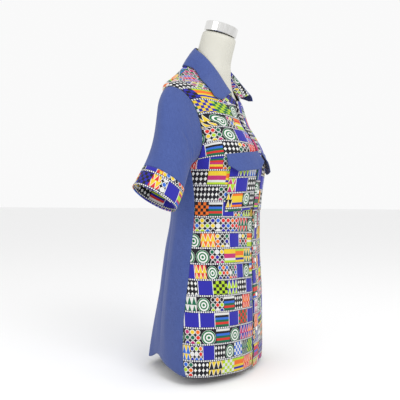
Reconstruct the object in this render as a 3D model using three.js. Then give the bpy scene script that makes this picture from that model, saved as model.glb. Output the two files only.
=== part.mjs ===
// Short-sleeved shirt dress in two cloths, worn by a limbless dress form.
// Millimetres, +Z up, the front faces -Y and the wearer's right is -X.
// The origin is the middle of the underside of the stand's base.
import * as THREE from "three";

// ---------------------------------------------------------------- sizes
const CLOTH = 1.6; // wall of the dress panels
const TRIM = 1.4; // wall of what lies on a panel
const SEAM = 0.3; // gap between pieces at a seam
const LIFT = 0.6; // gap under what lies on a panel

const HEM_Z = 26; // hem at the side seam
const YOKE_Z = 728; // back yoke seam
const NECK_PIT_Z = 772; // centre front of the neckline
const NECK_BACK_Z = 884; // centre back of the neckline

const ARMHOLE = { z: 688, height: 104, turn: 18.5, backTurn: 21 };

const BAND_WIDTH = 36; // button band
const BUTTON = { radius: 5.8, thickness: 2.4, top: 706, pitch: 98, count: 7 };

const BASE = { radius: 108, thickness: 8, skirt: 2.5 };
const POLE = { radius: 12 };
const CAP = { radius: 48.5, height: 27, dome: 5, lean: 17 };

// ---------------------------------------------------------------- shared helpers
const DEG = Math.PI / 180;
const V = (x, y, z) => new THREE.Vector3(x, y, z);
const lerp = THREE.MathUtils.lerp;
const clamp = THREE.MathUtils.clamp;
const smooth = (x, a, b) => THREE.MathUtils.smoothstep(x, a, b);

// One column of a table as a smooth function of its first column.
function column(rows, key, by = "z") {
  const x = rows.map((r) => r[by]);
  const y = rows.map((r) => r[key]);
  const n = x.length;
  const d = [];
  for (let i = 0; i < n - 1; i++) d.push((y[i + 1] - y[i]) / (x[i + 1] - x[i]));
  const m = y.map((_, i) => {
    if (i === 0) return d[0];
    if (i === n - 1) return d[n - 2];
    return d[i - 1] * d[i] <= 0 ? 0 : (2 * d[i - 1] * d[i]) / (d[i - 1] + d[i]);
  });
  return (q) => {
    if (q <= x[0]) return y[0] + m[0] * (q - x[0]);
    if (q >= x[n - 1]) return y[n - 1] + m[n - 1] * (q - x[n - 1]);
    let i = 0;
    while (q > x[i + 1]) i++;
    const h = x[i + 1] - x[i];
    const t = (q - x[i]) / h;
    const a = 2 * t ** 3 - 3 * t ** 2 + 1;
    const b = t ** 3 - 2 * t ** 2 + t;
    const c = -2 * t ** 3 + 3 * t ** 2;
    return a * y[i] + b * h * m[i] + c * y[i + 1] + (t ** 3 - t ** 2) * h * m[i + 1];
  };
}

// A closed body from an inner and an outer grid of points of the same size.
function shell(outer, inner, closed) {
  const rows = outer.length;
  const cols = outer[0].length;
  const points = [...outer.flat(), ...inner.flat()];
  const index = [];
  const o = (i, j) => i * cols + (j % cols);
  const q = (i, j) => rows * cols + o(i, j);
  const quad = (a, b, c, d) => index.push(a, b, c, a, c, d);
  const across = closed ? cols : cols - 1;
  for (let i = 0; i < rows - 1; i++)
    for (let j = 0; j < across; j++) {
      quad(o(i, j), o(i, j + 1), o(i + 1, j + 1), o(i + 1, j));
      quad(q(i, j), q(i + 1, j), q(i + 1, j + 1), q(i, j + 1));
    }
  for (let j = 0; j < across; j++) {
    quad(q(0, j), q(0, j + 1), o(0, j + 1), o(0, j));
    quad(o(rows - 1, j), o(rows - 1, j + 1), q(rows - 1, j + 1), q(rows - 1, j));
  }
  if (!closed)
    for (let i = 0; i < rows - 1; i++) {
      quad(o(i, 0), o(i + 1, 0), q(i + 1, 0), q(i, 0));
      quad(q(i, cols - 1), q(i + 1, cols - 1), o(i + 1, cols - 1), o(i, cols - 1));
    }
  const g = new THREE.BufferGeometry();
  g.setAttribute(
    "position",
    new THREE.Float32BufferAttribute(points.flatMap((p) => [p.x, p.y, p.z]), 3),
  );
  g.setIndex(index);
  return turnedOut(g);
}

// The same geometry with its faces turned outward.
function turnedOut(g) {
  const p = g.getAttribute("position");
  const ix = g.index.array;
  let volume = 0;
  const [a, b, c] = [V(), V(), V()];
  for (let i = 0; i < ix.length; i += 3) {
    a.fromBufferAttribute(p, ix[i]);
    b.fromBufferAttribute(p, ix[i + 1]);
    c.fromBufferAttribute(p, ix[i + 2]);
    volume += a.dot(b.cross(c));
  }
  if (volume < 0)
    for (let i = 0; i < ix.length; i += 3) [ix[i + 1], ix[i + 2]] = [ix[i + 2], ix[i + 1]];
  g.computeVertexNormals();
  return g;
}

// A grid of points from a function of (u, v), v up the rows.
function grid(cols, rows, at) {
  const out = [];
  for (let i = 0; i <= rows; i++) {
    const row = [];
    for (let j = 0; j <= cols; j++) row.push(at(j / cols, i / rows));
    out.push(row);
  }
  return out;
}

const group = new THREE.Group();
group.name = "ankara_shirt_dress";
function add(name, geometry, color, roughness = 0.9, metalness = 0) {
  const material = new THREE.MeshStandardMaterial({ color, roughness, metalness });
  const mesh = new THREE.Mesh(geometry, material);
  mesh.name = name;
  group.add(mesh);
  return mesh;
}
const BLUE = 0x2f4382;
const PRINT = 0x3d4f8a;
const PEARL = 0xf2f0ea;
const FORM = 0xd6d2c6;
const CHROME = 0xc9ccd0;

// ---------------------------------------------------------------- body of the dress
// Rings of the dress by height: half width at the sides, depth of the front and of the
// back, the y of the widest place, and how square the front (q) and the back (p) are.
const RINGS = [
  { z: 0, half: 216, front: -121, back: 192, mid: -6, q: 2.2, p: 1.5 },
  { z: 60, half: 213, front: -125, back: 184, mid: -6, q: 2.25, p: 1.56 },
  { z: 200, half: 198, front: -125, back: 158, mid: -2, q: 2.3, p: 1.75 },
  { z: 340, half: 176, front: -121, back: 132, mid: 0, q: 2.4, p: 1.95 },
  { z: 440, half: 162, front: -123, back: 112, mid: 0, q: 2.5, p: 2.1 },
  { z: 520, half: 158, front: -131, back: 107, mid: 2, q: 2.6, p: 2.2 },
  { z: 585, half: 160, front: -138, back: 110, mid: 6, q: 2.7, p: 2.2 },
  { z: 620, half: 161, front: -136, back: 114, mid: 12, q: 2.7, p: 2.2 },
  { z: 665, half: 161, front: -116, back: 120, mid: 22, q: 2.6, p: 2.2 },
  { z: 710, half: 163, front: -88, back: 124, mid: 32, q: 2.5, p: 2.2 },
  { z: 750, half: 176, front: -76, back: 121, mid: 40, q: 2.2, p: 2.2 },
  { z: 775, half: 188, front: -71, back: 116, mid: 46, q: 1.85, p: 2.1 },
  { z: 794, half: 192, front: -66, back: 111, mid: 52, q: 1.5, p: 2.1 },
  { z: 822, half: 148, front: -56, back: 101, mid: 58, q: 1.25, p: 2.0 },
  { z: 850, half: 102, front: -52, back: 90, mid: 57, q: 1.25, p: 2.0 },
  { z: 890, half: 54, front: -50, back: 70, mid: 48, q: 1.5, p: 2.0 },
];
const ring = Object.fromEntries(
  ["half", "front", "back", "mid", "q", "p"].map((k) => [k, column(RINGS, k)]),
);

// Soft flutes of the skirt: where round the body, how far out, how wide and how high
// up each reaches.
const FLUTES = [
  { at: 163, out: 13, wide: 9, top: 430 },
  { at: 197, out: 13, wide: 9, top: 430 },
  { at: 132, out: -7, wide: 15, top: 380 },
  { at: 228, out: -7, wide: 15, top: 380 },
  { at: 88, out: 7, wide: 8, top: 330 },
  { at: 272, out: 7, wide: 8, top: 330 },
  { at: 62, out: -5, wide: 10, top: 300 },
  { at: 298, out: -5, wide: 10, top: 300 },
  { at: 36, out: 3, wide: 9, top: 260 },
  { at: 324, out: 3, wide: 9, top: 260 },
];

// A point of the dress at angle a (0 at the centre front, 90 at the wearer's right side)
// and height z, moved out by off.
function dressAt(a, z) {
  const s = Math.abs(Math.sin(a * DEG));
  const c = Math.cos(a * DEG);
  const mid = ring.mid(z);
  const deep = c >= 0 ? mid - ring.front(z) : ring.back(z) - mid;
  const q = c >= 0 ? ring.q(z) : ring.p(z);
  let r = ((s / ring.half(z)) ** q + (Math.abs(c) / deep) ** q) ** (-1 / q);
  for (const f of FLUTES)
    if (z < f.top) {
      const d = (((a - f.at + 540) % 360) - 180) / f.wide;
      r += f.out * Math.exp(-d * d) * (1 - z / f.top) ** 1.3;
    }
  return V(-r * Math.sin(a * DEG), mid - r * c, z);
}

function dressNormal(a, z) {
  const e = 0.25;
  const da = dressAt(a + e, z).sub(dressAt(a - e, z));
  const dz = dressAt(a, z + e).sub(dressAt(a, z - e));
  return da.cross(dz).normalize().negate();
}

const dressOut = (a, z, off) => dressAt(a, z).addScaledVector(dressNormal(a, z), off);

// The angle at which the dress is x to the wearer's right of the centre front.
function angleAtX(x, z) {
  let a = 0;
  for (let i = 0; i < 6; i++) a = Math.asin(clamp(x / dressAt(a, z).setZ(0).distanceTo(V(0, ring.mid(z), 0)), -1, 1)) / DEG;
  return a;
}

// The side seam wanders a little round the body; one edge is at each side of it.
const SEAMLINE = [
  { z: 0, at: 86 },
  { z: 60, at: 91 },
  { z: 120, at: 92 },
  { z: 300, at: 89 },
  { z: 480, at: 87 },
  { z: 584, at: 90 },
];
const seamAngle = column(SEAMLINE, "at");

// Armhole as angles w from its top (0) by the front (90) and the underarm (180).
function armhole(w) {
  const s = Math.sin(w * DEG);
  return {
    a: 90 - (s >= 0 ? ARMHOLE.turn : ARMHOLE.backTurn) * s,
    z: ARMHOLE.z + ARMHOLE.height * Math.cos(w * DEG),
  };
}

// Neckline: its height by the angle round the neck.
const NECKLINE = [
  { a: 0, z: NECK_PIT_Z },
  { a: 12, z: 776 },
  { a: 23, z: 800 },
  { a: 37, z: 835 },
  { a: 61, z: 863 },
  { a: 85, z: 880 },
  { a: 180, z: NECK_BACK_Z },
];
const neckHeight = column(NECKLINE, "z", "a");
const neckZ = (a) => neckHeight(Math.abs(((a + 180) % 360) - 180));

// Hem: its height by the angle; the front dips and the back quarters lift.
const HEMLINE = [
  { a: 0, z: HEM_Z - 14 },
  { a: 60, z: HEM_Z - 6 },
  { a: 92, z: HEM_Z },
  { a: 112, z: HEM_Z + 13 },
  { a: 135, z: HEM_Z + 24 },
  { a: 163, z: HEM_Z - 2 },
  { a: 180, z: HEM_Z + 2 },
];
const hemHeight = column(HEMLINE, "z", "a");
const hemZ = (a) => hemHeight(Math.abs(((a + 180) % 360) - 180));

// How far in angle half a seam gap is at this place.
const gapAngle = (a, z, gap = SEAM / 2) =>
  (gap / dressAt(a, z).setZ(0).distanceTo(V(0, ring.mid(z), 0))) / DEG;

// Walls of a panel whose points are (a, z) pairs.
function panel(cols, rows, at, from = 0, thick = CLOTH) {
  const places = grid(cols, rows, at);
  const face = (off) => places.map((row) => row.map((p) => dressOut(p.a, p.z, off)));
  return shell(face(from + thick), face(from), false);
}

const mirror = (g) => {
  const m = g.clone();
  m.scale(-1, 1, 1);
  const ix = m.index.array;
  for (let i = 0; i < ix.length; i += 3) [ix[i + 1], ix[i + 2]] = [ix[i + 2], ix[i + 1]];
  m.computeVertexNormals();
  return m;
};

// Rows and columns of the panels; panels that meet share their points along the seam.
const ROWS = { skirt: 18, chest: 6, neck: 8, back: 6, yoke: 6 };
const COLS = { front: 12, neck: 7, back: 26 };
const FRONT_ROWS = ROWS.skirt + ROWS.chest + ROWS.neck;
const UNDERARM = ARMHOLE.z - ARMHOLE.height;
const SHOULDER_A = 84; // angle of the shoulder seam at the neck
const YOKE_W = 360 - Math.acos((YOKE_Z - ARMHOLE.z) / ARMHOLE.height) / DEG;

// Height of a row of the front at its centre edge, up to the neck pit.
function frontHeight(row) {
  if (row <= ROWS.skirt) return lerp(hemZ(0), UNDERARM, row / ROWS.skirt);
  return lerp(UNDERARM, NECK_PIT_Z, (row - ROWS.skirt) / ROWS.chest);
}
const armholeEdge = (w, side) => {
  const hole = armhole(w);
  return { a: hole.a + side * gapAngle(90, hole.z), z: hole.z };
};

// One front: from its centre edge and neckline to the side seam and armhole.
function frontPlaces(edgeX) {
  return (u, v) => {
    const row = v * FRONT_ROWS;
    if (row <= ROWS.skirt) {
      const t = row / ROWS.skirt;
      const z1 = lerp(hemZ(90), UNDERARM, t);
      const side = seamAngle(z1) - gapAngle(90, z1);
      const a = lerp(angleAtX(edgeX, frontHeight(row)), side, u);
      return { a, z: lerp(u === 1 ? hemZ(90) : hemZ(a), UNDERARM, t) };
    }
    const t = (row - ROWS.skirt) / (FRONT_ROWS - ROWS.skirt);
    const right = armholeEdge(180 - 180 * t, t < 1 ? -1 : 0);
    let left;
    if (row <= ROWS.skirt + ROWS.chest) {
      const z = frontHeight(row);
      left = { a: angleAtX(edgeX, z), z };
    } else {
      const s = (row - ROWS.skirt - ROWS.chest) / ROWS.neck;
      const a = lerp(angleAtX(edgeX, NECK_PIT_Z), SHOULDER_A, s);
      left = { a, z: neckZ(a) };
    }
    return { a: lerp(left.a, right.a, u), z: lerp(left.z, right.z, u) };
  };
}
add("front_right", panel(COLS.front, FRONT_ROWS, frontPlaces(17)), PRINT);
add("front_left", mirror(panel(COLS.front, FRONT_ROWS, frontPlaces(-14.5))), PRINT);

// Back panel below the yoke seam.
function backPlaces(u, v) {
  const row = v * (ROWS.skirt + ROWS.back);
  if (row <= ROWS.skirt) {
    const t = row / ROWS.skirt;
    const z1 = lerp(hemZ(90), UNDERARM, t);
    const side = seamAngle(z1) + gapAngle(90, z1);
    const a = lerp(side, 360 - side, u);
    return { a, z: lerp(u === 0 || u === 1 ? hemZ(90) : hemZ(a), UNDERARM, t) };
  }
  const t = (row - ROWS.skirt) / ROWS.back;
  const side = armholeEdge(lerp(180, YOKE_W, t), 1);
  return { a: lerp(side.a, 360 - side.a, u), z: t === 1 ? side.z - SEAM : side.z };
}
add("back", panel(COLS.back, ROWS.skirt + ROWS.back, backPlaces), BLUE);

// Yoke: over the back and both shoulders, from the yoke seam to the neckline.
const YOKE_COLS = 2 * (COLS.neck + COLS.front);
function yokePlaces(u, v) {
  const k = Math.abs(u - 0.5) * YOKE_COLS; // 0 at the centre back, counted in columns
  const side = armholeEdge(lerp(YOKE_W, 360, v), 1);
  const foot = armholeEdge(YOKE_W, 1);
  let a, z;
  if (k > YOKE_COLS / 2 - 0.01) ({ a, z } = side);
  else {
    const bottom = { a: lerp(180, foot.a, k / (YOKE_COLS / 2)), z: YOKE_Z };
    const t = Math.max(0, (k - COLS.neck) / COLS.front);
    const top =
      k < COLS.neck
        ? { a: lerp(180, SHOULDER_A + 0.6, k / COLS.neck) }
        : { a: lerp(SHOULDER_A, 90, t) + gapAngle(88, 822, SEAM) * lerp(2.4, 1, t) };
    top.z = k < COLS.neck ? neckZ(top.a) : lerp(neckZ(SHOULDER_A), ARMHOLE.z + ARMHOLE.height, t);
    // The columns near the armhole bend with it.
    const near = (k / (YOKE_COLS / 2)) ** 3;
    a = lerp(bottom.a, top.a, v) + near * (side.a - lerp(foot.a, 90, v));
    z = lerp(bottom.z, top.z, v) + near * (side.z - lerp(YOKE_Z, ARMHOLE.z + ARMHOLE.height, v));
  }
  return { a: u < 0.5 ? a : 360 - a, z };
}
add("back_yoke", panel(YOKE_COLS, ROWS.yoke, yokePlaces), PRINT);

// ---------------------------------------------------------------- sleeves
const SLEEVE = {
  centre: V(-295, 44, 490), // middle of the opening
  along: V(-0.54, 0.24, -0.806).normalize(),
  major: V(0.326, -0.807, -0.49).normalize(),
  wide: 62,
  deep: 42,
  band: 56, // depth of the turned print band
};
SLEEVE.minor = SLEEVE.along.clone().cross(SLEEVE.major).normalize();

// Start of the sleeve: just inside the armhole's edge, level with the outer face.
function sleeveStart(w) {
  const h = armhole(w);
  const p = dressOut(h.a, h.z, CLOTH);
  const c = dressAt(90, ARMHOLE.z);
  const into = c.sub(p);
  const behind = smooth(-Math.sin(w * DEG), 0, 0.6);
  return p.addScaledVector(into.normalize(), lerp(0.6, 1.0, behind));
}
function sleeveEnd(w) {
  return SLEEVE.centre
    .clone()
    .addScaledVector(SLEEVE.major, SLEEVE.wide * Math.sin(w * DEG))
    .addScaledVector(SLEEVE.minor, SLEEVE.deep * Math.cos(w * DEG));
}
function sleeveAt(w, v) {
  const top = 0.5 + 0.5 * Math.cos(w * DEG);
  const start = sleeveStart(w);
  const end = sleeveEnd(w);
  const reach = start.distanceTo(end);
  const leave = V(-0.8, 0.04, lerp(-0.35, -0.6, top)).normalize();
  const b = start.clone().addScaledVector(leave, reach * lerp(0.25, 0.33, top));
  const c = end.clone().addScaledVector(SLEEVE.along, -reach * 0.38);
  const k = 1 - v;
  return start
    .multiplyScalar(k ** 3)
    .addScaledVector(b, 3 * k * k * v)
    .addScaledVector(c, 3 * k * v * v)
    .addScaledVector(end, v ** 3);
}
// The share of a sleeve line at which the band starts.
function bandShare(w) {
  const reach = sleeveStart(w).distanceTo(sleeveEnd(w)) * 1.04;
  return 1 - SLEEVE.band / reach;
}
// The angles round the armhole at which the panels have their points.
const AROUND = [];
for (let i = 0; i < FRONT_ROWS - ROWS.skirt; i++) AROUND.push((180 * i) / (FRONT_ROWS - ROWS.skirt));
for (let i = 0; i < ROWS.back; i++) AROUND.push(lerp(180, YOKE_W, i / ROWS.back));
for (let i = 0; i < ROWS.yoke; i++) AROUND.push(lerp(YOKE_W, 360, i / ROWS.yoke));
function sleeveWall(rows, from, to, off) {
  const outer = [];
  const inner = [];
  for (let i = 0; i <= rows; i++) {
    const ro = [];
    const ri = [];
    for (const w of AROUND) {
      const v = lerp(from(w), to(w), i / rows);
      const p = sleeveAt(w, v);
      const dw = sleeveAt(w + 1, v).sub(sleeveAt(w - 1, v));
      const dv = sleeveAt(w, Math.min(v + 0.01, 1)).sub(sleeveAt(w, Math.max(v - 0.01, 0)));
      const n = dw.cross(dv).normalize();
      if (n.dot(p.clone().sub(SLEEVE.centre.clone().lerp(V(-178, 35, 690), 1 - v))) < 0) n.negate();
      ro.push(p.clone().addScaledVector(n, off));
      ri.push(p.clone().addScaledVector(n, off - CLOTH));
    }
    outer.push(ro);
    inner.push(ri);
  }
  return shell(outer, inner, true);
}
const sleeve = sleeveWall(9, () => 0, (w) => bandShare(w) - SEAM / 260, 0);
const band = sleeveWall(3, bandShare, () => 1, 0.6);
add("sleeve_right", sleeve, BLUE);
add("sleeve_left", mirror(sleeve), BLUE);
add("sleeve_band_right", band, PRINT);
add("sleeve_band_left", mirror(band), PRINT);

// ---------------------------------------------------------------- button band and buttons
// Distance round the front from the centre, as an angle.
function angleAtArc(d, z) {
  let a = 0;
  let gone = 0;
  let last = dressAt(0, z);
  while (gone < d && a < 120) {
    a += 0.5;
    const next = dressAt(a, z);
    gone += next.distanceTo(last);
    last = next;
  }
  return a;
}

const BAND_ROWS = ROWS.skirt + ROWS.chest;
const bandPlaces = (u, v) => {
  const z = frontHeight(v * BAND_ROWS);
  return { a: angleAtX(lerp(20 - BAND_WIDTH, 20, u), z), z };
};
const BAND_FOOT = CLOTH + 1.6; // clear of the bends of the front below
add("button_band", panel(4, BAND_ROWS, bandPlaces, BAND_FOOT, TRIM), PRINT);

const buttonShape = new THREE.LatheGeometry(
  [
    [0, 0],
    [0.8, 0],
    [1, 0.3],
    [1, 0.75],
    [0.86, 1],
    [0.66, 0.86],
    [0, 0.8],
  ].map(([r, h]) => new THREE.Vector2(r * BUTTON.radius, h * BUTTON.thickness)),
  14,
);
for (let i = 0; i < BUTTON.count; i++) {
  const z = BUTTON.top - i * BUTTON.pitch;
  const g = buttonShape.clone();
  const q = new THREE.Quaternion().setFromUnitVectors(V(0, 1, 0), dressNormal(0, z));
  g.applyQuaternion(q);
  const p = dressOut(0, z, BAND_FOOT + TRIM + 1);
  g.translate(p.x, p.y, p.z);
  add(`button_${i + 1}`, g, PEARL, 0.35);
}

// ---------------------------------------------------------------- pockets
const POCKET = { from: 24, to: 138, top: 602, height: 142, slant: 5, tilt: 6 };
const FLAP = { from: 17, to: 150, top: 624, height: 47, clip: 0.2, tilt: 15, proud: 14 };
const pocketPlaces = (u, v) => {
  const d = lerp(POCKET.from, POCKET.to, u) + POCKET.slant * u * (1 - v);
  const z = POCKET.top - POCKET.height * (1 - v) - POCKET.tilt * u;
  return { a: angleAtArc(d, z), z };
};
const pocket = panel(10, 8, pocketPlaces, CLOTH + LIFT, TRIM);
add("pocket_right", pocket, PRINT);
add("pocket_left", mirror(pocket), PRINT);

// The flap leaves the chest toward its free edge, most at its inner corner.
function flapFace(cols, rows, off) {
  return grid(cols, rows, (u, v) => {
    const down = 1 - v;
    const corner = Math.min(1, Math.min(u, 1 - u) / FLAP.clip);
    const long = FLAP.height * lerp(0.62, 1, corner);
    const d = lerp(FLAP.from, FLAP.to, u);
    const z = FLAP.top - FLAP.tilt * u - long * down;
    const proud = FLAP.proud * down ** 1.3 * lerp(1.25, 0.75, u);
    return dressOut(angleAtArc(d, z), z, CLOTH + LIFT * 2 + TRIM + proud + off);
  });
}
const flap = shell(flapFace(10, 5, CLOTH), flapFace(10, 5, 0), false);
add("pocket_flap_right", flap, BLUE);
add("pocket_flap_left", mirror(flap), BLUE);

// ---------------------------------------------------------------- collar
// From the right front end round the back to the left front end: the neckline angle of
// the stand's foot, the fold, and the leaf's free edge.
const COLLAR = [
  { k: -1.0, foot: 13, fx: -36, fy: -68, fz: 792, edge: 42, height: 762, off: 5 },
  { k: -0.9, foot: 18, fx: -41, fy: -59, fz: 807, edge: 52, height: 767, off: 5 },
  { k: -0.76, foot: 26, fx: -46, fy: -42, fz: 834, edge: 55, height: 788, off: 5 },
  { k: -0.56, foot: 42, fx: -54, fy: -20, fz: 866, edge: 60.5, height: 820, off: 4 },
  { k: -0.4, foot: 62, fx: -60, fy: 6, fz: 896, edge: 71, height: 853, off: 4 },
  { k: -0.2, foot: 100, fx: -43, fy: 42, fz: 924, edge: 98, height: 868, off: 4 },
  { k: 0, foot: 180, fx: 0, fy: 55, fz: 936, edge: 180, height: 876, off: 6 },
  { k: 0.2, foot: 260, fx: 43, fy: 42, fz: 924, edge: 262, height: 868, off: 4 },
  { k: 0.4, foot: 298, fx: 60, fy: 6, fz: 898, edge: 289, height: 853, off: 4 },
  { k: 0.56, foot: 318, fx: 60, fy: -26, fz: 876, edge: 299, height: 822, off: 6 },
  { k: 0.76, foot: 334, fx: 62, fy: -54, fz: 843, edge: 305, height: 794, off: 14 },
  { k: 0.9, foot: 342, fx: 63, fy: -74, fz: 818, edge: 318, height: 776, off: 24 },
  { k: 1.0, foot: 347, fx: 62, fy: -88, fz: 800, edge: 330, height: 770, off: 34 },
];
const collar = Object.fromEntries(
  ["foot", "fx", "fy", "fz", "edge", "height", "off"].map((n) => [n, column(COLLAR, n, "k")]),
);
const fold = (k) => V(collar.fx(k), collar.fy(k), collar.fz(k));
const leafEdge = (k) => dressOut(collar.edge(k), collar.height(k), CLOTH + collar.off(k));
function stemAt(k, v) {
  const a = collar.foot(k);
  const foot = dressOut(a, neckZ(a) + 4, CLOTH);
  const top = fold(k);
  const p = foot.clone().lerp(top, v);
  const away = V(0, 10, 0).sub(V(p.x, p.y, 0)).setZ(0).normalize();
  return p.addScaledVector(away, 4 * v * (1 - v));
}
function surfaceNormal(at, k, v, e = 0.01) {
  const dk = at(Math.min(k + e, 1), v).sub(at(Math.max(k - e, -1), v));
  const dv = at(k, Math.min(v + e, 1)).sub(at(k, Math.max(v - e, 0)));
  return dk.cross(dv).normalize();
}
function strip(at, cols, rows, sign, thick) {
  const outer = grid(cols, rows, (u, v) => at(2 * u - 1, v));
  const inner = grid(cols, rows, (u, v) => {
    const k = 2 * u - 1;
    return at(k, v).addScaledVector(surfaceNormal(at, k, v), sign * thick);
  });
  return shell(outer, inner, false);
}
add("collar_stand", strip(stemAt, 32, 3, 1, TRIM), PRINT);
function leafAt(k, share) {
  const v = share ** 1.7; // rows crowd toward the fold
  const stem = fold(k).sub(stemAt(k, 0)).normalize();
  const start = fold(k).addScaledVector(stem, 1.6).addScaledVector(surfaceNormal(stemAt, k, 1), TRIM);
  const end = leafEdge(k);
  const run = end.clone().sub(start);
  const along = fold(Math.min(k + 0.02, 1)).sub(fold(Math.max(k - 0.02, -1)));
  const up = along.cross(run).normalize();
  if (up.z < 0) up.negate();
  const puff = 7 * Math.sqrt(Math.max(v, 0)) * (1 - v) * 1.6;
  return start.addScaledVector(run, v).addScaledVector(up, puff);
}
add("collar_leaf", strip(leafAt, 36, 6, 1, CLOTH), BLUE);

// ---------------------------------------------------------------- dress form and stand
const FORM_RINGS = [
  { z: 150, half: 118, front: -76, back: 88, mid: 4, q: 2.2, p: 2.1 },
  { z: 158, half: 128, front: -86, back: 98, mid: 4, q: 2.2, p: 2.1 },
  { z: 200, half: 146, front: -96, back: 112, mid: 4, q: 2.2, p: 2.1 },
  { z: 260, half: 152, front: -98, back: 116, mid: 4, q: 2.2, p: 2.1 },
  { z: 340, half: 138, front: -92, back: 104, mid: 2, q: 2.2, p: 2.1 },
  { z: 440, half: 114, front: -84, back: 76, mid: 0, q: 2.2, p: 2.2 },
  { z: 520, half: 128, front: -104, back: 84, mid: 2, q: 2.4, p: 2.2 },
  { z: 585, half: 142, front: -128, back: 96, mid: 6, q: 2.6, p: 2.2 },
  { z: 620, half: 146, front: -127, back: 103, mid: 12, q: 2.6, p: 2.2 },
  { z: 665, half: 148, front: -106, back: 111, mid: 22, q: 2.5, p: 2.2 },
  { z: 710, half: 150, front: -80, back: 115, mid: 32, q: 2.4, p: 2.2 },
  { z: 750, half: 163, front: -69, back: 112, mid: 40, q: 2.2, p: 2.2 },
  { z: 775, half: 172, front: -63, back: 107, mid: 46, q: 1.85, p: 2.1 },
  { z: 788, half: 168, front: -59, back: 103, mid: 50, q: 1.6, p: 2.1 },
  { z: 816, half: 132, front: -50, back: 94, mid: 56, q: 1.35, p: 2.0 },
  { z: 844, half: 86, front: -46, back: 82, mid: 54, q: 1.3, p: 2.0 },
  { z: 880, half: 44, front: -44, back: 62, mid: 44, q: 1.5, p: 2.0 },
];
const formRing = Object.fromEntries(
  ["half", "front", "back", "mid", "q", "p"].map((k) => [k, column(FORM_RINGS, k)]),
);
const NECK = [
  { z: 150, y: 0, r: 10 },
  { z: 560, y: 10, r: 40 },
  { z: 760, y: 14, r: 52 },
  { z: 820, y: 14, r: 58 },
  { z: 870, y: 9, r: 56 },
  { z: 934, y: -8, r: 51.5 },
  { z: 980, y: -21, r: 47.5 },
];
const neck = { y: column(NECK, "y"), r: column(NECK, "r") };
const NECK_TOP = 972;
function formAt(a, z) {
  const cy = neck.y(z);
  const s = Math.sin(a * DEG);
  const c = Math.cos(a * DEG);
  let torso = 0;
  if (z < 880) {
    const mid = formRing.mid(z);
    const [f, b] = [mid - formRing.front(z), formRing.back(z) - mid];
    let [lo, hi] = [0, 400];
    for (let i = 0; i < 40; i++) {
      const r = (lo + hi) / 2;
      const y = cy - r * c - mid;
      const [deep, q] = y < 0 ? [f, formRing.q(z)] : [b, formRing.p(z)];
      const out = Math.abs((r * s) / formRing.half(z)) ** q + Math.abs(y / deep) ** q > 1;
      if (out) hi = r;
      else lo = r;
    }
    torso = lo;
  }
  const n = neck.r(z);
  const soft = 9;
  const r = z < 700 ? torso : soft * Math.log(Math.exp(torso / soft) + Math.exp(n / soft) * smooth(z, 700, 780));
  const lean = smooth(z, 900, NECK_TOP) * Math.tan(CAP.lean * DEG);
  return V(-r * s, cy - r * c, z - lean * (-r * c) * -1);
}
function ringsBody(rows, cols, at, levels) {
  const points = [];
  for (const z of levels) for (let j = 0; j < cols; j++) points.push(at((360 * j) / cols, z));
  const first = points.slice(0, cols).reduce((s, p) => s.add(p), V()).divideScalar(cols);
  const lastRing = points.slice(-cols);
  const last = lastRing.reduce((s, p) => s.add(p), V()).divideScalar(cols);
  const index = [];
  const n = levels.length;
  for (let i = 0; i < n - 1; i++)
    for (let j = 0; j < cols; j++) {
      const k = (j + 1) % cols;
      index.push(i * cols + j, i * cols + k, (i + 1) * cols + k);
      index.push(i * cols + j, (i + 1) * cols + k, (i + 1) * cols + j);
    }
  points.push(first, last);
  for (let j = 0; j < cols; j++) {
    const k = (j + 1) % cols;
    index.push(n * cols, k, j);
    index.push(n * cols + 1, (n - 1) * cols + j, (n - 1) * cols + k);
  }
  const g = new THREE.BufferGeometry();
  g.setAttribute(
    "position",
    new THREE.Float32BufferAttribute(points.flatMap((p) => [p.x, p.y, p.z]), 3),
  );
  g.setIndex(index);
  return turnedOut(g);
}
const levels = [150, 158, 175, 200, 230, 262, 300, 340, 380, 415, 445, 480, 515, 550, 580, 605];
levels.push(630, 655, 680, 705, 730, 752, 770, 782, 792, 802, 812, 824, 838, 852, 866, 882, 900);
levels.push(920, 940, 956, NECK_TOP);
add("form_body", ringsBody(0, 40, formAt, levels), FORM, 0.6);

// Neck cap: a slightly domed turned band, leaning with the neck.
const capShape = new THREE.LatheGeometry(
  [
    [0, 0],
    [CAP.radius - 1.5, 0],
    [CAP.radius, 1.5],
    [CAP.radius, CAP.height - 2],
    [CAP.radius - 2, CAP.height],
    [CAP.radius * 0.7, CAP.height + CAP.dome * 0.55],
    [CAP.radius * 0.35, CAP.height + CAP.dome * 0.9],
    [0, CAP.height + CAP.dome],
  ].map(([r, h]) => new THREE.Vector2(r, h)),
  40,
);
capShape.rotateX(Math.PI / 2);
capShape.rotateX(CAP.lean * DEG);
const lean = CAP.lean * DEG;
const neckTop = V(0, neck.y(NECK_TOP), NECK_TOP);
capShape.translate(neckTop.x, neckTop.y - 0.5 * Math.sin(lean), neckTop.z + 0.5 * Math.cos(lean));
add("neck_cap", capShape, CHROME, 0.2, 1);

// Pole from the base to the underside of the torso.
const pole = new THREE.CylinderGeometry(POLE.radius, POLE.radius, 150 - BASE.thickness - 2, 24);
pole.rotateX(Math.PI / 2);
pole.translate(0, 0, BASE.thickness + 1 + (150 - BASE.thickness - 2) / 2);
add("stand_pole", pole, CHROME, 0.2, 1);

const baseShape = new THREE.LatheGeometry(
  [
    [0, 0],
    [BASE.radius, 0],
    [BASE.radius, BASE.thickness - BASE.skirt],
    [BASE.radius - BASE.skirt, BASE.thickness],
    [0, BASE.thickness],
  ].map(([r, h]) => new THREE.Vector2(r, h)),
  48,
);
baseShape.rotateX(Math.PI / 2);
add("stand_base", baseShape, CHROME, 0.25, 1);

export default group;
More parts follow.
